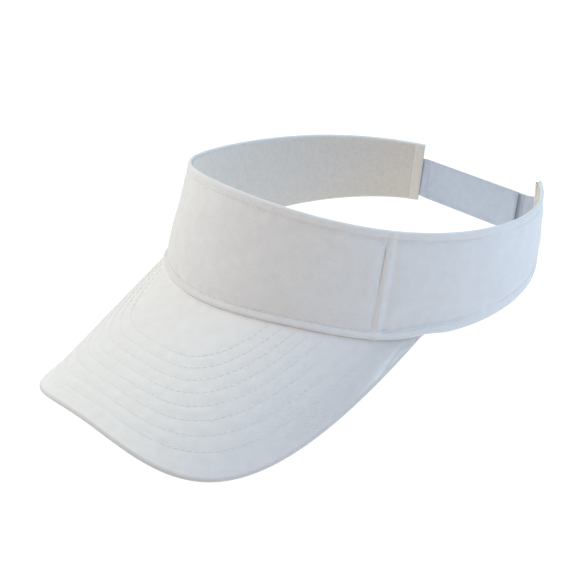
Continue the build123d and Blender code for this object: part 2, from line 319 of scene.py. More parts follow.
def stitches(name, rows, material, radius=THREAD_RADIUS):
    """Rows of single stitches. A row is (points along it, normals), in worn millimetres.

    Each stitch is a short rounded length of thread whose ends sink into the cloth.
    """
    around = round_angles(THREAD_SIDES)
    blocks = []
    for points, normals in rows:
        run = lengths(points[:, None], 0)[:, 0]
        count = int(run[-1] / STITCH_SPACING)
        centres = (np.arange(count) + 0.5) * run[-1] / max(count, 1)
        places = centres[:, None] + STITCH_PLACES * STITCH_LENGTH / 2
        line = np.stack([np.interp(places, run, c) for c in points.T], -1)
        up = unit(np.stack([np.interp(places, run, c) for c in normals.T], -1))
        side = unit(np.cross(np.gradient(line, axis=1), up))
        line = line + up * (STITCH_RISE * radius)[:, None]
        ring = side[:, :, None] * np.cos(around)[:, None] + up[:, :, None] * np.sin(around)[:, None]
        blocks.append(line[:, :, None] + ring * (STITCH_GIRTH * radius)[:, None, None])
    return tubes(name, np.concatenate(blocks), material)


# ---- Bill and band surfaces --------------------------------------------------------
def bill_height(x, y):
    """Height of the bill's top face over a point in plan."""
    return BILL_ROOT_HEIGHT + BILL_SLOPE * (y + HALF_LENGTH) - ARCH_SQUARE * x**2 - ARCH_FOURTH * x**4


def bill_at(plan, out):
    """Point of the bill over a point in plan, and a distance out from its top face."""
    x, y = plan[..., 0], plan[..., 1]
    base = np.stack([x, y, bill_height(x, y)], -1)
    return base + bill_normal(plan) * np.asarray(out)[..., None]


def bill_normal(plan):
    """Direction square to the bill's top face."""
    x = plan[..., 0]
    steep = 2 * ARCH_SQUARE * x + 4 * ARCH_FOURTH * x**3
    return unit(np.stack([steep, np.full_like(x, -BILL_SLOPE), np.ones_like(x)], -1))


def half_outline(inset, pull, count):
    """Plan outline of the bill's left half at an inset, from its tip to the middle of its front.

    A pull lengthens the curve's handles, which draws the corner out.
    """
    width = BILL_HALF_WIDTH - inset
    length = BILL_LENGTH - inset
    front = BILL_TIP_Y - length
    side = BILL_TIP_Y - (BILL_SIDE_HANDLE + pull) * length / BILL_LENGTH
    corner = (BILL_FRONT_HANDLE + pull) * width / BILL_HALF_WIDTH
    t = np.linspace(0, 1, count)[:, None]
    line = (1 - t) ** 3 * [width, BILL_TIP_Y] + 3 * t * (1 - t) ** 2 * [width, side]
    return line + 3 * t**2 * (1 - t) * [corner, front] + t**3 * [0, front]


def bill_edge(inset, count):
    """Plan outline of the bill at an inset, from its right tip round to its left tip.

    The wearer's right corner is drawn out a little further than the left one.
    """
    right = half_outline(inset, CORNER_PULL, OUTLINE_POINTS) * [-1, 1]
    line = np.concatenate([right, half_outline(inset, 0, OUTLINE_POINTS)[-2::-1]])
    run = lengths(line[:, None], 0)[:, 0]
    even = np.linspace(0, run[-1], count)
    return np.stack([np.interp(even, run, c) for c in line.T], -1)


def corner_lift(line, inset):
    """How far the drawn-out corner turns up, which keeps it off the table."""
    plain = half_outline(inset, 0, FINE_OUTLINE_POINTS) * [-1, 1]
    gap = np.linalg.norm(line[:, None] - plain, axis=-1)
    nearest = plain[gap.argmin(axis=1)]
    fall = bill_height(*nearest.T) - bill_height(*line.T)
    return CORNER_RISE * np.where(line[:, 0] < 0, fall, 0)


def top_edge(angle):
    """Point on the band's top edge, at an angle from the middle of the front."""
    front = (1 + np.cos(angle)) / 2
    x = (HALF_WIDTH - TOP_INSET_SIDE) * np.sin(angle)
    y = -HALF_LENGTH * np.cos(angle) + TOP_INSET_FRONT * front - TOP_OUTSET_REAR * (1 - front)
    z = TOP_WAVE_TWO * np.cos(2 * angle) + TOP_WAVE_THREE * np.cos(3 * angle)
    return np.stack([x, y, z], -1)


def bottom_edge(angle):
    """Point on the band's bottom edge: on the bill as far as its tips, then free."""
    x = HALF_WIDTH * np.sin(angle)
    y = -HALF_LENGTH * np.cos(angle)
    tip = bill_height(HALF_WIDTH * np.sin(TIP), -HALF_LENGTH * np.cos(TIP))
    share = np.clip((np.abs(angle) - TIP) / (END - TIP), 0, 1)
    bow = share * (1 - share) * (WING_BOW + WING_SKEW * (1 - 2 * share))
    free = tip + (END_HEIGHT - tip) * share + bow
    return np.stack([x, y, np.where(np.abs(angle) <= TIP, bill_height(x, y), free)], -1)


def slant(angle):
    """Height of the band up its face."""
    return np.linalg.norm(top_edge(angle) - bottom_edge(angle), axis=-1)


def wall_axes(angle):
    """Directions up the band's face and square out from it."""
    up = unit(top_edge(angle) - bottom_edge(angle))
    plan = np.stack(
        [HALF_LENGTH * np.sin(angle), -HALF_WIDTH * np.cos(angle), np.zeros_like(angle)], -1
    )
    plan = unit(plan)
    return up, unit(plan - up * (plan * up).sum(-1, keepdims=True))


def flare(angle):
    """How far the end of the left wing springs out from its curve."""
    share = np.maximum(angle - FLARE_START, 0) / (END - FLARE_START)
    return LEFT_FLARE * share**2


def wall(angle, height, out):
    """Point of the band at an angle, a height up its face and a distance outwards."""
    angle, height, out = np.broadcast_arrays(angle, height, out)
    up, side = wall_axes(angle)
    spring = side * flare(angle)[..., None]
    spring[..., 2] = spring[..., 1] * np.tan(REST_PITCH)
    return bottom_edge(angle) + up * height[..., None] + side * out[..., None] + spring


def arc(angle):
    """Distance round the band from the middle of its front, in millimetres."""
    table = np.linspace(-np.pi, np.pi, ARC_SAMPLES)
    run = lengths(bottom_edge(table)[:, None] * [1, 1, 0], 0)[:, 0]
    return np.interp(angle, table, run - np.interp(0, table, run))


# ---- Materials ---------------------------------------------------------------------
# Distances from a sheet's first edge between which its painted edge shade gives way to its own colour
PAINTED_EDGE_SHADE_FADE = (0.8, 2.8)
SLUB_STRETCH = (90, 1400, 1)
TWILL_WEAVE = {
    "ribs": ((57, 0.75, 0.7), (-33, 0.45, 0.3)), "fuzz": (0.5, 0.5), "mottle": (5, 0.25),
}
THREAD_TWIST = {
    "ribs": ((50, 0.25, 0.8),), "fuzz": (0.2, 0.3), "mottle": (2, 0.2),
    "relief": 0.00005, "rough": (0.6, 0.8),
}


def new_material(name):
    """Material with its Principled shader and a function that adds linked nodes.

    That function takes each input by name, or by number as i0, i1 and so on. The input is
    linked to a socket, or set to a plain value.
    """
    material = bpy.data.materials.new(name)
    material.use_nodes = True
    tree = material.node_tree
    shader = tree.nodes["Principled BSDF"]

    def node(kind, settings=(), **inputs):
        made = tree.nodes.new(kind)
        for key, value in dict(settings).items():
            setattr(made, key, value)
        for key, value in inputs.items():
            socket = made.inputs[int(key[1:])] if key[0] == "i" else made.inputs[key]
            if isinstance(value, bpy.types.NodeSocket):
                tree.links.new(value, socket)
            else:
                socket.default_value = value
        return made

    return material, shader, node, tree


def waves(node, uv, turn, period, strength=1.0):
    """Even ridges across the cloth, period millimetres apart, turned by an angle."""
    spun = node("ShaderNodeMapping", i0=uv, i2=(0, 0, np.radians(turn)))
    ridge = node("ShaderNodeTexWave", {"wave_type": "BANDS"}, i0=spun.outputs[0])
    ridge.inputs["Scale"].default_value = np.pi / 10 / (period * MM)
    scaled = node("ShaderNodeMath", {"operation": "MULTIPLY"}, i0=ridge.outputs["Fac"], i1=strength)
    return scaled.outputs[0]


def fabric(
    name, light, dark, ribs, fuzz, mottle, relief=0.00012, sheen=0.2, rough=(0.82, 0.96), edge=None
):
    """Woven cloth, between a light and a dark tone.

    ribs are (turn in degrees, period, strength) of its ridges; fuzz and mottle are (size,
    strength) of its nap and of its uneven tone; relief is the height of its surface in metres;
    edge is a darker colour painted along the sheet's first edge as painted shade, if given.
    """
    material, shader, node, tree = new_material(name)
    uv = node("ShaderNodeUVMap", {"uv_map": "cloth"}).outputs[0]
    place = node("ShaderNodeTexCoord").outputs["Object"]
    height = None
    for turn, period, strength in ribs:
        ridge = waves(node, uv, turn, period, strength)
        if height is not None:
            ridge = node("ShaderNodeMath", {"operation": "ADD"}, i0=height, i1=ridge).outputs[0]
        height = ridge
    nap = node("ShaderNodeTexNoise", Vector=place, Scale=1 / (fuzz[0] * MM), Detail=4.0)
    nap = node("ShaderNodeMath", {"operation": "MULTIPLY"}, i0=nap.outputs["Fac"], i1=fuzz[1])
    height = node("ShaderNodeMath", {"operation": "ADD"}, i0=height, i1=nap.outputs[0]).outputs[0]
    raised = node("ShaderNodeBump", Height=height, Strength=0.8, Distance=relief)
    tree.links.new(raised.outputs[0], shader.inputs["Normal"])
    tone = node("ShaderNodeTexNoise", Vector=place, Scale=1 / (mottle[0] * MM), Detail=5.0)
    slub = node("ShaderNodeMapping", i0=uv, i3=SLUB_STRETCH)
    slub = node("ShaderNodeTexNoise", Vector=slub.outputs[0], Scale=1.0, Detail=2.0)
    mix = node(
        "ShaderNodeMath", {"operation": "MULTIPLY_ADD"},
        i0=slub.outputs["Fac"], i1=0.3, i2=tone.outputs["Fac"],
    )
    # The colour follows the slubs and mottling, the cloth's own uneven tone, and also the weave's ridges
    # and nap: lighter on top and darker in the grooves, painted light and shade
    shade = node("ShaderNodeMath", {"operation": "MULTIPLY_ADD"}, i0=height, i1=0.25, i2=mix.outputs[0])
    spread = node("ShaderNodeMapRange", i0=shade.outputs[0], i1=0.75 - mottle[1], i2=0.95 + mottle[1])
    colour = node("ShaderNodeMix", {"data_type": "RGBA"}, i0=spread.outputs[0])
    colour.inputs[6].default_value = (*dark, 1)
    colour.inputs[7].default_value = (*light, 1)
    # Painted shade: a darker colour along the sheet's first edge, fading into the cloth's own
    if edge is not None:
        along = node("ShaderNodeSeparateXYZ", i0=uv).outputs[0]
        inner = node("ShaderNodeMapRange", i0=along, i1=PAINTED_EDGE_SHADE_FADE[0] * MM, i2=PAINTED_EDGE_SHADE_FADE[1] * MM)
        colour = node("ShaderNodeMix", {"data_type": "RGBA"}, i0=inner.outputs[0], i7=colour.outputs[2])
        colour.inputs[6].default_value = (*edge, 1)
    tree.links.new(colour.outputs[2], shader.inputs["Base Color"])
    gloss = node("ShaderNodeMapRange", i0=tone.outputs["Fac"], i1=0.3, i2=0.7, i3=rough[0], i4=rough[1])
    tree.links.new(gloss.outputs[0], shader.inputs["Roughness"])
    shader.inputs["Specular IOR Level"].default_value = 0.25
    shader.inputs["Sheen Weight"].default_value = sheen
    shader.inputs["Sheen Roughness"].default_value = 0.5
    return material


# The band and the bill are one white twill: the band's copy is toned darker and the bill's lighter,
# painted light and shade for how the lamps fall on them
twill = fabric("white_twill", (0.815, 0.815, 0.81), (0.75, 0.75, 0.745), **TWILL_WEAVE)
# The bill's top cover gets painted shade along its rolled edge, where edge darkens it to 0.6
bill_twill = fabric(
    "bill_twill_painted_light_and_edge_shade", (0.905, 0.905, 0.9), (0.845, 0.845, 0.84), **TWILL_WEAVE, edge=(0.6, 0.6, 0.6)
)
# Painted shade: the binding round the bill's edge is the same twill toned grey for the shade on its
# downward face
edge_twill_painted_shade = fabric("edge_twill_painted_shade", (0.66, 0.66, 0.66), (0.6, 0.6, 0.6), **TWILL_WEAVE)
under_twill = fabric("white_twill_underside", (0.86, 0.86, 0.85), (0.8, 0.8, 0.795), **TWILL_WEAVE)
# The lining's grey-beige is partly its own brushed cotton and partly painted shade and warm bounce from
# inside the band
lining_cloth = fabric(
    "brushed_cotton", (0.67, 0.64, 0.595), (0.59, 0.56, 0.515),
    ribs=((0, 0.9, 0.2), (90, 0.9, 0.2)), fuzz=(0.9, 1.4), mottle=(2.2, 0.2), relief=0.0002, sheen=0.3,
)
# The strap tapes are toned darker and blue-grey: partly a pale blue-grey tape and partly painted shade of
# the band under its cool light
tape_cloth = fabric(
    "woven_tape_painted_shade", (0.54, 0.61, 0.71), (0.46, 0.53, 0.63),
    ribs=((0, 0.7, 0.7), (90, 0.5, 0.4)), fuzz=(0.4, 0.4), mottle=(4, 0.25),
)
thread = fabric("sewing_thread", (0.9, 0.9, 0.89), (0.82, 0.82, 0.81), **THREAD_TWIST)
# The hem is the band's twill turned to the inside, toned darker and warmer: painted shade and warm bounce
# from inside the band
hem_cloth = fabric(
    "hem_twill", (0.75, 0.72, 0.67), (0.68, 0.65, 0.6),
    ribs=TWILL_WEAVE["ribs"], fuzz=(0.7, 0.8), mottle=(4, 0.25), sheen=0.3,
)
# The tape's thread shares the strap's blue-grey, painted shade as on the tape
tape_thread = fabric("tape_thread", (0.58, 0.65, 0.75), (0.5, 0.57, 0.67), **THREAD_TWIST)
# The loop pile shares the strap's blue-grey, painted shade as on the tape
pile = fabric(
    "looped_pile", (0.62, 0.68, 0.76), (0.42, 0.48, 0.56),
    ribs=((0, 0.8, 0.2),), fuzz=(0.45, 2.2), mottle=(1.2, 0.05), relief=0.0005, sheen=0.5,
)
buckram = fabric(
    "open_weave_buckram", (0.8, 0.8, 0.77), (0.62, 0.62, 0.6),
    ribs=((0, 1.2, 0.8), (90, 1.2, 0.8)), fuzz=(0.5, 0.4), mottle=(3, 0.2), relief=0.0002,
)
# The hooks share the strap's blue-grey, painted shade as on the tape
nylon = fabric(
    "nylon_hooks", (0.6, 0.66, 0.74), (0.52, 0.58, 0.66),
    ribs=((0, 0.6, 0.3),), fuzz=(0.6, 0.3), mottle=(2, 0.3), relief=0.00005, sheen=0.0, rough=(0.35, 0.5),
)
board = fabric(
    "moulded_polyethylene", (0.86, 0.86, 0.86), (0.8, 0.8, 0.81),
    ribs=((0, 3.0, 0.1),), fuzz=(1.5, 0.4), mottle=(8, 0.3), relief=0.00005, sheen=0.0, rough=(0.4, 0.55),
)


# ---- Bill --------------------------------------------------------------------------
def root_ring(angle, standoff):
    """Plan points at a distance outside the foot of the band."""
    return np.stack(
        [(HALF_WIDTH + standoff) * np.sin(angle), -(HALF_LENGTH + standoff) * np.cos(angle)], -1
    )


def outside_band(plan, standoff):
    """Which plan points lie beyond that distance from the foot of the band."""
    x, y = plan[..., 0] / (HALF_WIDTH + standoff), plan[..., 1] / (HALF_LENGTH + standoff)
    return x**2 + y**2 > 1


row_plans = []
for row_number in range(STITCH_ROWS):
    line = bill_edge(FIRST_ROW_INSET + ROW_PITCH * row_number, ROW_POINTS)
    row_plans.append(line[outside_band(line, ROW_STANDOFF)])
row_tree = KDTree(sum(len(line) for line in row_plans))
for number, (x, y) in enumerate(np.concatenate(row_plans)):
    row_tree.insert((x, y, 0), number)
row_tree.balance()


def row_distance(plan):
    """Plan distance from each point to the nearest row of stitches."""
    flat = plan.reshape(-1, 2)
    found = [row_tree.find((x, y, 0))[2] for x, y in flat]
    return np.array(found).reshape(plan.shape[:-1])


def quilting(plan):
    """How far the cloth stands up between the bill's rows of stitches."""
    distance = row_distance(plan)
    puff = QUILTING * smooth(distance / QUILTING_REACH)
    crinkle = CRINKLE * ripple(plan[..., 0], plan[..., 1], size=9, seed=3)
    return puff + crinkle * smooth(distance / CRINKLE_REACH)


root_angles = np.linspace(-TIP, TIP, BILL_COLUMNS)
root_line = root_ring(root_angles, ROOT_STANDOFF)
shares = np.linspace(0, 1, COVER_STEPS)[:, None, None]
edge_lift = corner_lift(bill_edge(ROLL_INSET, BILL_COLUMNS), ROLL_INSET)


def cover_plan(inset):
    """Plan grid over the bill, from an inset at its edge to the foot of the band."""
    return bill_edge(inset, BILL_COLUMNS) * (1 - shares) + root_line * shares


def edge_rows(section):
    """Grid that runs round the bill's edge, one row for each point of a section.

    A point is (reach, rise) from the middle of the rolled edge, outwards and square to the bill.
    """
    line = bill_edge(ROLL_INSET, BILL_COLUMNS)
    middle = bill_at(line, -WELT_RADIUS)
    middle[:, 2] += edge_lift
    rise_way = bill_normal(line)
    reach_way = unit(np.cross(np.gradient(middle, axis=0), rise_way))
    return np.stack([middle + reach_way * reach + rise_way * rise for reach, rise in section])


def rolled(first, last, count):
    """Section round the bill's rolled edge, where 90 degrees is its top and -90 its bottom."""
    bend = np.radians(np.linspace(first, last, count))
    radius = WELT_RADIUS - TWILL / 2
    return list(zip(radius * np.cos(bend), radius * np.sin(bend)))


# The top cover starts under the bill's edge, rolls over it and ends tucked under the band.
# The slices leave out the stretch of each curve that the cover already has.
plan = cover_plan(ROLL_INSET)
inward = shares[..., 0]
quilted = quilting(plan) * smooth((inward - QUILTING_START) / QUILTING_EASE)
top = bill_at(plan, quilted - TWILL / 2)
top[..., 2] += edge_lift * (1 - smooth(inward / CORNER_SHARE))
tuck_in = curve([top[-2], top[-1], wall(root_angles, -0.4, -0.9)], 9)[5:]
round_edge = edge_rows(rolled(first=-12, last=80, count=9))
top = np.concatenate([round_edge, top, tuck_in])
bill_top = cloth("bill_top_cloth", top, TWILL, bill_twill)

# The under cover turns up inside the band
plan = cover_plan(UNDER_INSET)
under = bill_at(plan, -BILL_THICKNESS + TWILL / 2 - quilting(plan) * UNDER_QUILTING)
under[..., 2] += edge_lift * (1 - smooth(inward / CORNER_SHARE + UNDER_LIFT_LEAD))
turn_up = [under[-2], under[-1], wall(root_angles, -1.5, -1.7), wall(root_angles, 0.5, -1.75)]
under = np.concatenate([under, curve(turn_up, 18)[7:]])
bill_under = cloth("bill_under_cloth", under, TWILL, under_twill)

# The binding's section, from under the top cover's edge round to the underside: reach and
# rise from the middle of the rolled edge
BINDING_SECTION = [
    (0.3, 0.55), (0.75, 0.15), (1.1, -0.35), (0.85, -0.9), (0, -1.2), (-0.9, -1.2), (-2.2, -1.2),
]
BINDING_POINTS = 19
binding = edge_rows(curve(BINDING_SECTION, BINDING_POINTS)).transpose(1, 0, 2)
# The binding wears the grey twill, painted shade of its underside
bill_edge_roll = cloth("bill_edge_roll", binding, BINDING, edge_twill_painted_shade)

top_rows = [(bill_at(line, BILL_ROW_OUT), bill_normal(line)) for line in row_plans]
bill_rows = stitches("bill_stitches", top_rows, thread, FINE_THREAD_RADIUS)
low_rows = [
    (bill_at(line, -BILL_THICKNESS - BILL_ROW_OUT), -bill_normal(line)) for line in row_plans
]
bill_under_rows = stitches("bill_under_stitches", low_rows, thread, FINE_THREAD_RADIUS)


# ---- Band: panels and lining -----------------------------------------------------------
def allowance(angle):
    """How far the folded seam allowance, just behind each seam, lifts the cloth over it."""
    behind = (np.abs(angle) - SEAM) * SEAM_RADIUS
    return ALLOWANCE_LIFT * smooth(behind / 1.3) * (1 - smooth((behind - ALLOWANCE_WIDTH) / 2))


def span(first, last, step=ANGLE_STEP):
    """Angles from first to last, packed close at both ends."""
    edge = np.sign(last - first) * END_STEP
    return eased(first, last, int(abs(last - first) / step), edge)


def band_relief(angle, height):
    """How far the outer cloth swells between the rows that hold it."""
    top = slant(angle)
    depth = top - height
    held = smooth((depth - ROW_DEPTH) / 6) * smooth((height - LIP_HEIGHT - 0.3) / 5)
    run = arc(angle)
    slow = 0.35 * ripple(run, height, size=48, seed=11) + 0.12 * ripple(run, height, size=17, seed=5)
    pucker = 0.16 * ripple(run, height * 0.2, size=7, seed=8)
    near_row = bump((depth - ROW_DEPTH - 2.5) / 3.5) + bump((height - LIP_HEIGHT - 2.5) / 3.5)
    return SWELL * held + slow * held + pucker * near_row * smooth(depth / 4) * smooth(height / 4)


def slack(angle):
    """How far the bottom of the band hangs below its edge, just behind the bill."""
    behind = np.abs(angle) - TIP
    return LIP_SAG * smooth(behind / 0.15) * bump((behind - 0.25) / 0.45)


def panel_grid(angles, count, low, high):
    """Angles and heights of a panel's grid, from low up its face to high below its top."""
    limits = zip(low - slack(angles), slant(angles) - high)
    heights = np.stack([eased(first, last, count, TWILL / 2) for first, last in limits])
    return np.broadcast_to(angles[:, None], heights.shape), heights


FRONT_EDGE = SEAM - SEAM_GAP
angles, heights = panel_grid(span(-FRONT_EDGE, FRONT_EDGE), count=52, low=1.2, high=1.2)
to_seam = (SEAM - np.abs(angles)) * SEAM_RADIUS
out = band_relief(angles, heights) * smooth(to_seam / 5) - FRONT_SEAM_SINK * bump(to_seam / 0.9)
front_panel = cloth(
    "front_panel_cloth", wall(angles, heights, out - TWILL / 2), TWILL, twill, (0, -1)
)

sides = (("left", 1), ("right", -1))
panels, linings, rims, lips, hems = {}, {}, {}, {}, {}


def side_relief(angle, height):
    """Swelling of a side panel: the seam allowance and the strap root under it, the dip
    behind the allowance, and a soft hollow and fold in the cloth.
    """
    angle = np.abs(angle)
    behind = (angle - SEAM) * SEAM_RADIUS
    dip = -0.2 * bump((behind - 5.6) / 1.8)
    level = bottom_edge(angle)[..., 2] + height - STRAP_MIDDLE
    root = smooth((angle - STRAP_ROOT) * 40) * smooth((STRAP_HALF_HEIGHT + 1.5 - np.abs(level)) / 1.5)
    hollow = -1.1 * bump((behind - 20) / 14) * bump((height - 13) / 11)
    fold = 0.5 * bump((behind - 62) / 13) * bump((height - 26) / 20)
    return allowance(angle) + dip * smooth(behind) + 0.3 * root + hollow + fold


def side_cloth(side, sign):
    """Side panel, one piece from its seam to the end of the band, tucked in at both."""
    stations = span(sign * (SEAM + SEAM_GAP), sign * END)
    angles, heights = panel_grid(stations, count=52, low=0.5, high=1.2)
    out = band_relief(angles, heights) + side_relief(angles, heights)
    to_end = (END - np.abs(angles)) * END_RADIUS
    out = out * smooth(to_end / 5) - END_TUCK * bump(to_end / 0.6)
    out = out - SIDE_SEAM_SINK * bump((np.abs(angles) - SEAM) * SEAM_RADIUS / 0.6)
    return cloth(f"{side}_side_cloth", wall(angles, heights, out - TWILL / 2), TWILL, twill, (0,))


def lining_half(side, sign):
    """Lining from the middle of the front to one end of the band."""
    stations = span(0, sign * (END - np.radians(0.15)), np.radians(1))
    angles, heights = panel_grid(stations, count=44, low=0.9, high=0.6)
    run = arc(angles)
    sag = 0.2 * ripple(run, heights, size=30, seed=21) + 0.08 * ripple(run, heights, size=9, seed=22)
    depth = slant(angles) - heights
    sag = sag * smooth(depth / 6) * smooth(heights / 6) * smooth(np.abs(angles) / 0.05)
    sag = sag + 0.3 * (1 - smooth(depth / 3))
    middle = wall(angles, heights, LINING_OUT + sag)
    return cloth(f"{side}_lining_cloth", middle, LINING, lining_cloth, (0,))


for side, sign in sides:
    panels[side] = side_cloth(side, sign)
    linings[side] = lining_half(side, sign)

# ---- Band: rolled top rim and bottom lip -------------------------------------------------
# Listed sections: height from the top or bottom edge, and distance out
RIM_SECTION = [
    (-4.3, -0.55), (-3.5, -0.24), (-2.6, 0.14), (-1.7, 0.44), (-0.9, 0.4), (-0.35, 0.06),
    (-0.12, -0.5), (-0.5, -1.05), (-1.3, -1.2), (-2.6, -1.2),
]
LIP_SECTION = [
    (4.4, -0.55), (3.7, -0.24), (2.95, 0.25), (2.1, 0.76), (1.2, 1.0), (0.5, 0.76),
    (0.16, 0.1), (0.3, -0.7), (1.0, -1.2), (2.5, -1.2),
]
SECTION_POINTS = 34


def edging(name, stations, section, base, swell, square_ends):
    """Folded edge that runs along the band, above a base height at each station.

    swell says how full its outer face is at each station, from 0 for flush with the panel.
    """
    across = curve(section, SECTION_POINTS)
    outside = smooth(across[:, 1] * 2 + 1)
    full = np.maximum(across[:, 1], 0) * swell[:, None]
    pucker = 0.05 * ripple(arc(stations)[:, None], across[:, 0], size=8, seed=31)
    lift = allowance(stations)[:, None] + pucker
    out = np.minimum(across[:, 1], 0) + full + lift * outside - 0.2 * (1 - swell[:, None])
    middle = wall(stations[:, None], base[:, None] + across[:, 0], out)
    return cloth(name, middle, FOLD, twill, square_ends)


def top_rim(name, first, last, seam_ends):
    """Rolled edge along the top of the band."""
    stations = span(first, last)
    full = np.ones_like(stations)
    return edging(name, stations, RIM_SECTION, slant(stations), full, seam_ends)


def bottom_lip(name, first, last, seam_ends):
    """Folded edge along the bottom: full over the bill, flat and a little slack behind it."""
    stations = span(first, last)
    swell = 1 - smooth((np.abs(stations) - TIP + 0.05) / 0.4)
    return edging(name, stations, LIP_SECTION, -slack(stations), swell, seam_ends)


rims["front"] = top_rim("front_top_rim", -FRONT_EDGE, FRONT_EDGE, (0, -1))
lips["front"] = bottom_lip("front_bottom_lip", -FRONT_EDGE, FRONT_EDGE, (0, -1))
for side, sign in sides:
    limits = sign * (SEAM + SEAM_GAP), sign * (END + np.radians(0.1))
    rims[side] = top_rim(f"{side}_top_rim", *limits, (0,))
    lips[side] = bottom_lip(f"{side}_bottom_lip", *limits, (0,))


# ---- Band: rows of stitches ----------------------------------------------------------
ROW_OUT = 0.12
ROW_GAP = np.radians(0.8)
ROW_STEP = np.radians(0.5)
SEAM_ROW = np.radians(1.25)
HEM_ROW = np.radians(0.55)
UPRIGHT_POINTS = 40


def level_row(first, last, height_of, out):
    """Stitch row along the band, at a height that may follow its top edge."""
    stations = np.linspace(first, last, int(abs(last - first) / ROW_STEP))
    return wall(stations, height_of(stations), out), wall_axes(stations)[1]


def upright_row(angle, low, high, out, facing=1):
    """Stitch row up the band at one angle."""
    heights = np.linspace(low, high, UPRIGHT_POINTS)
    angles = np.full(UPRIGHT_POINTS, angle)
    return wall(angles, heights, out), wall_axes(angles)[1] * facing


def under_rim(stations):
    """Height of the row below the rolled rim."""
    return slant(stations) - ROW_DEPTH


def over_lip(stations):
    """Height of the row above the bottom lip."""
    return np.full_like(stations, LIP_HEIGHT + 0.5)


row_heights = (under_rim, over_lip)
rows = {"front": [level_row(ROW_GAP - SEAM, SEAM - ROW_GAP, at, ROW_OUT) for at in row_heights]}
for side, sign in sides:
    limits = (sign * (SEAM + ROW_GAP), sign * (END - ROW_GAP))
    rows[side] = [level_row(*limits, at, ROW_OUT) for at in row_heights]
band_rows = {side: stitches(f"{side}_band_stitches", rows[side], thread) for side in rows}

# The hem's folded section: degrees from the end of the band, and distance out
HEM_SECTION = [(-3.3, -2.42), (-3.05, -2.6), (-2.0, -2.72), (-0.6, -2.7), (0.15, -2.35), (0.1, -1.75)]
HEM_MARGIN = 0.7
seam_rows, hem_rows = {}, {}
for side, sign in sides:
    angle = sign * (SEAM + SEAM_ROW)
    high = float(slant(np.array(angle))) - ROW_DEPTH - 1
    seam_rows[side] = stitches(
        f"{side}_seam_stitches", [upright_row(angle, 4.8, high, 0.55)], thread
    )
    section = curve(HEM_SECTION, 22)
    angles = sign * (END + np.radians(section[:, 0]))
    low, high = HEM_MARGIN, slant(angles) - HEM_MARGIN
    heights = low + (high - low) * eased(0, 1, 30, 0.006)[:, None]
    hems[side] = cloth(
        f"{side}_end_hem_cloth", wall(angles, heights, section[:, 1]), FOLD, hem_cloth
    )
    angle = sign * (END - HEM_WIDTH + HEM_ROW)
    high = float(slant(np.array(angle))) - 2
    inside = upright_row(angle, 2, high, -2.95, -1)
    outside = upright_row(angle, ROW_DEPTH, high - 2, ROW_OUT)
    hem_rows[side] = stitches(f"{side}_hem_stitches", [inside, outside], thread)

# ---- Strap ---------------------------------------------------------------------------
levels = eased(-STRAP_HALF_HEIGHT, STRAP_HALF_HEIGHT, STRAP_LINES, TAPE / 2)


def strap_root(sign, drop):
    """Grid of a strap's sewn root, between the layers of the band."""
    angles = np.linspace(STRAP_ROOT, END - np.radians(0.4), 22)[:, None]
    height = STRAP_MIDDLE - drop + levels - bottom_edge(angles)[..., 2]
    return wall(sign * angles, np.maximum(height, 3.5), STRAP_ROOT_OUT)


def flat_length(x_from, x_to, y, drop, step=1.0):
    """Grid of a flat length of strap."""
    xs = np.linspace(x_from, x_to, int(abs(x_to - x_from) / step))[:, None]
    x, z = np.broadcast_arrays(xs, levels)
    return np.stack([x, np.full_like(x, y), z + STRAP_MIDDLE - drop], -1)


def joined(root, free, count):
    """Root and free length joined by a smooth bend, guided by a station inside each."""
    bend = curve([root[-6], root[-1], free[0], free[6]], 3 * count)[count:2 * count]
    return np.concatenate([root, bend[1:-1], free])


inner_grid = joined(
    strap_root(-1, 0), flat_length(-STRAP_FREE_X, INNER_STRAP_END_X, INNER_STRAP_Y, 0), count=12
)
inner_tape = cloth("inner_strap_tape", inner_grid, TAPE, tape_cloth)
jog = flat_length(36.0, TONGUE_START_X, OUTER_STRAP_Y, OUTER_STRAP_DROP, 0.2)
outer_grid = joined(strap_root(1, OUTER_STRAP_DROP), jog, count=14)
outer_tape = cloth("outer_strap_root_tape", outer_grid, TAPE, tape_cloth, (-1,))
tongue_grid = flat_length(TONGUE_START_X, TONGUE_END_X, OUTER_STRAP_Y, OUTER_STRAP_DROP)
tongue_tape = cloth("outer_strap_tongue_tape", tongue_grid, TAPE, tape_cloth, (0,))


def patch_grid(x_from, x_to, y, drop, step):
    """Grid of a patch that is sewn just inside a strap's edges."""
    rounding = np.sign(x_to - x_from) * PATCH_ROUNDING
    xs = eased(x_from, x_to, int(abs(x_to - x_from) / step), rounding)
    reach = STRAP_HALF_HEIGHT - PATCH_MARGIN
    zs = eased(-reach, reach, int(2 * reach / step), PATCH_ROUNDING)
    x, z = np.meshgrid(xs, zs, indexing="ij")
    return x, np.full_like(x, y), z + STRAP_MIDDLE - drop


loop_x, loop_y, loop_z = patch_grid(
    PATCH_MARGIN - STRAP_FREE_X, INNER_STRAP_END_X - PATCH_MARGIN, LOOP_Y, 0, 0.45
)
loop_y = loop_y + 0.08 * ripple(loop_x, loop_z, size=1.1, seed=41)
loop_patch = cloth("loop_patch_pile", np.stack([loop_x, loop_y, loop_z], -1), LOOP_PILE, pile)
hook_x, hook_y, hook_z = patch_grid(
    INNER_STRAP_END_X, TONGUE_END_X + PATCH_MARGIN, HOOK_Y, OUTER_STRAP_DROP, 1.0
)
hook_base = cloth("hook_patch_base", np.stack([hook_x, hook_y, hook_z], -1), HOOK_BASE, nylon)


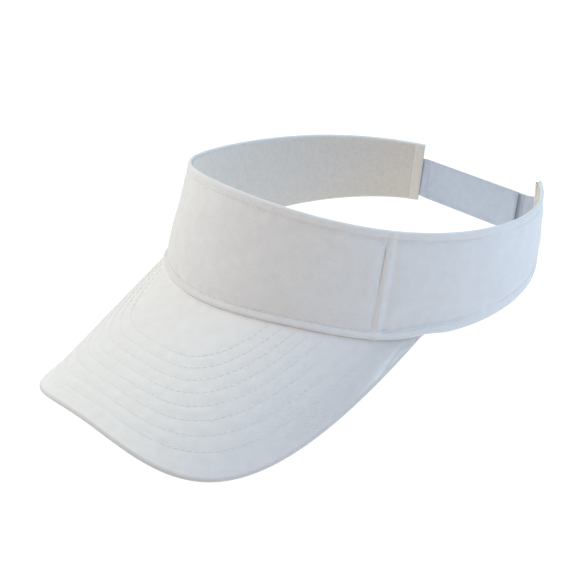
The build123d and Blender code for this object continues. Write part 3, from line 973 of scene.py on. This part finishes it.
def hook_field():
    """Rows of small nylon hooks that stand on the hook patch, as worn-frame tubes."""
    xs = np.arange(TONGUE_END_X + 2.5, INNER_STRAP_END_X - 1, HOOK_PITCH)
    reach = STRAP_HALF_HEIGHT - PATCH_MARGIN - 1
    zs = np.arange(-reach, reach + 0.1, HOOK_PITCH) + STRAP_MIDDLE - OUTER_STRAP_DROP
    x, z = np.meshgrid(xs, zs, indexing="ij")
    feet = np.stack([x, np.full_like(x, HOOK_Y - HOOK_SINK), z], -1).reshape(-1, 3)
    shape = curve([(0, 0, 0), (0.02, -0.2, 0), (0.14, -0.34, 0), (0.3, -0.3, 0), (0.3, -0.18, 0)], 8)
    lines = feet[:, None] + shape
    around = round_angles(5)
    heading = unit(np.gradient(shape, axis=0))
    side = np.broadcast_to([0.0, 0.0, 1.0], heading.shape)
    up = np.cross(heading, side)
    ring = side[:, None] * np.cos(around)[:, None] + up[:, None] * np.sin(around)[:, None]
    return lines[:, :, None] + ring * HOOK_RADIUS


hooks = tubes("hook_patch_hooks", hook_field(), nylon, (0, 0))


def patch_stitches(name, x_from, x_to, y, drop, facing):
    """Row of stitches round a patch, on the far side of its strap."""
    reach = STRAP_HALF_HEIGHT - PATCH_MARGIN - PATCH_ROW_INSET
    level = STRAP_MIDDLE - drop
    corners = np.array([
        (x_from, y, level - reach), (x_to, y, level - reach),
        (x_to, y, level + reach), (x_from, y, level + reach), (x_from, y, level - reach),
    ])
    made = []
    for start, end in zip(corners, corners[1:]):
        line = start + (end - start) * np.linspace(0, 1, 60)[:, None]
        made.append((line, np.broadcast_to([0.0, facing, 0.0], line.shape)))
    return stitches(name, made, tape_thread, FINE_THREAD_RADIUS)


end_inset = PATCH_MARGIN + PATCH_ROW_INSET
inner_rows = patch_stitches(
    "inner_strap_stitches", end_inset - STRAP_FREE_X, INNER_STRAP_END_X - end_inset,
    INNER_STRAP_Y - STRAP_ROW_OUT, 0, -1.0,
)
outer_rows = patch_stitches(
    "outer_strap_stitches", INNER_STRAP_END_X - PATCH_ROW_INSET, TONGUE_END_X + end_inset,
    OUTER_STRAP_Y + STRAP_ROW_OUT, OUTER_STRAP_DROP, 1.0,
)

# ---- What each piece rides on and stands for ------------------------------------------
for piece, nodes, slot in (
    (bill_top, ["bill_top_cover"], "twill"),
    (bill_under, ["bill_under_cover"], "under_twill"),
    (bill_edge_roll, ["bill_edge_welt"], "twill"),
    (bill_rows, ["bill_stitching"], "thread"),
    (bill_under_rows, [], "thread"),
    (front_panel, ["front_panel"], "twill"),
    (rims["front"], ["crown_top_binding"], "twill"),
    (lips["front"], ["crown_bottom_binding"], "twill"),
    (band_rows["front"], ["crown_top_stitching"], "thread"),
    (seam_rows["left"], ["left_seam_stitching"], "thread"),
    (seam_rows["right"], ["right_seam_stitching"], "thread"),
):
    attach(piece, "crown")
    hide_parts(*nodes)

for side, _ in sides:
    wing = f"{side}_wing"
    for piece, nodes, slot in (
        (panels[side], [f"{side}_side_panel", f"{side}_wing_panel"], "twill"),
        (linings[side], ["crown_lining", f"{side}_wing_lining"], "lining"),
        (rims[side], ["crown_top_binding", f"{side}_wing_top_binding"], "twill"),
        (lips[side], ["crown_bottom_binding", f"{side}_wing_bottom_binding"], "twill"),
        (band_rows[side], ["crown_top_stitching", f"{side}_wing_top_stitching"], "thread"),
    ):
        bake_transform(piece)
        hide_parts(*nodes)
    for piece, node, slot in (
        (hems[side], f"{side}_end_hem", "twill"),
        (hem_rows[side], f"{side}_hem_stitching", "thread"),
    ):
        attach(piece, wing)
        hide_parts(node)

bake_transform(inner_tape)
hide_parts("inner_strap", "inner_strap_root")
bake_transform(outer_tape)
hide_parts("outer_strap_base", "outer_strap_root")
for piece, nodes, slot in (
    (tongue_tape, ["outer_strap_tongue"], "strap_tape"),
    (hook_base, ["hook_patch"], "hook_tape"),
    (hooks, [], "hook_tape"),
    (outer_rows, ["outer_strap_stitching"], "thread"),
):
    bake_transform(piece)
    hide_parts(*nodes)
for piece, node, slot in (
    (loop_patch, "loop_patch", "loop_pile"),
    (inner_rows, "inner_strap_stitching", "thread"),
):
    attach(piece, "inner_strap")
    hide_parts(node)

inside_looks = {
    "bill_board": board,
    "bill_seam_allowance": twill,
    "front_buckram": buckram,
    "left_seam_tape": twill,
    "right_seam_tape": twill,
}
for name, material in inside_looks.items():
    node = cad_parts[name]
    node.data.materials.clear()
    node.data.materials.append(material)

# ---- Floor, light and camera ---------------------------------------------------------
FLOOR_HALF = 4.0
FLOOR_TONE = 0.2
FLOOR_GLOW = 0.9
SKY_STRENGTH = 0.32
floor_mesh = bpy.data.meshes.new("floor")
corners = [(-1, -1, 0), (1, -1, 0), (1, 1, 0), (-1, 1, 0)]
floor_mesh.from_pydata([Vector(c) * FLOOR_HALF for c in corners], [], [(0, 1, 2, 3)])
floor = bpy.data.objects.new("floor", floor_mesh)
bpy.context.scene.collection.objects.link(floor)
floor_look, floor_shader, _, _ = new_material("pale_floor")
floor_shader.inputs["Base Color"].default_value = (FLOOR_TONE, FLOOR_TONE, FLOOR_TONE, 1)
floor_shader.inputs["Roughness"].default_value = 1.0
floor_shader.inputs["Emission Color"].default_value = (1, 1, 1, 1)
floor_shader.inputs["Emission Strength"].default_value = FLOOR_GLOW
floor_mesh.materials.append(floor_look)

world = bpy.data.worlds.new("studio")
bpy.context.scene.world = world
world.use_nodes = True
sky = world.node_tree.nodes["Background"]
sky.inputs["Color"].default_value = (1, 1, 1, 1)
sky.inputs["Strength"].default_value = SKY_STRENGTH

LIGHT_DISTANCE = 1.2
LIGHT_AIM = Vector((0, 0, 0.05))


def area_light(name, azimuth, elevation, size, power, colour):
    """Soft square light aimed at the visor. Azimuth 0 is in front of it, 90 on its left."""
    lamp = bpy.data.lights.new(name, "AREA")
    lamp.energy, lamp.size, lamp.color = power, size, colour
    made = bpy.data.objects.new(name, lamp)
    a, e = np.radians(azimuth), np.radians(elevation)
    back = Vector((np.sin(a) * np.cos(e), -np.cos(a) * np.cos(e), np.sin(e)))
    made.location = back * LIGHT_DISTANCE + LIGHT_AIM
    made.rotation_euler = back.to_track_quat("Z", "Y").to_euler()
    bpy.context.scene.collection.objects.link(made)


area_light("key", -80, 40, 0.8, 5.75, (0.9, 1, 0.86))
area_light("front_fill", -30, 55, 0.8, 4.65, (1, 0.86, 0.9))
area_light("cool_side", 130, 9, 0.4, 2.4, (0, 0.23, 1))
area_light("back", 150, 45, 0.8, 6.6, (0.65, 0.92, 1))

# The camera, placed in the worn frame
CAMERA_AZIMUTH = np.radians(47.2)
CAMERA_ELEVATION = np.radians(18.88)
CAMERA_ROLL = np.radians(7.26)
CAMERA_DISTANCE = 712.4
CAMERA_TARGET = np.array([7.1, -49.8, -52.5])
CAMERA_LENS = 88.55
SENSOR_WIDTH = 36.0


def camera_axes():
    """The camera's right, up and backward directions in the worn frame."""
    a, e, r = CAMERA_AZIMUTH, CAMERA_ELEVATION, CAMERA_ROLL
    back = np.array([np.sin(a) * np.cos(e), -np.cos(a) * np.cos(e), np.sin(e)])
    right = np.array([np.cos(a), np.sin(a), 0])
    up = np.cross(back, right)
    return right * np.cos(r) + up * np.sin(r), up * np.cos(r) - right * np.sin(r), back


right, up, back = camera_axes()
camera = bpy.data.objects.new("camera", bpy.data.cameras.new("camera"))
camera.data.lens = CAMERA_LENS
camera.data.sensor_width = SENSOR_WIDTH
axes = np.stack([turned(right), turned(up), turned(back)], -1)
pose = Matrix(axes.tolist()).to_4x4()
pose.translation = Vector(placed(CAMERA_TARGET + back * CAMERA_DISTANCE))
camera.matrix_world = pose
bpy.context.scene.collection.objects.link(camera)
bpy.context.scene.camera = camera
bpy.context.scene.view_settings.view_transform = "Standard"
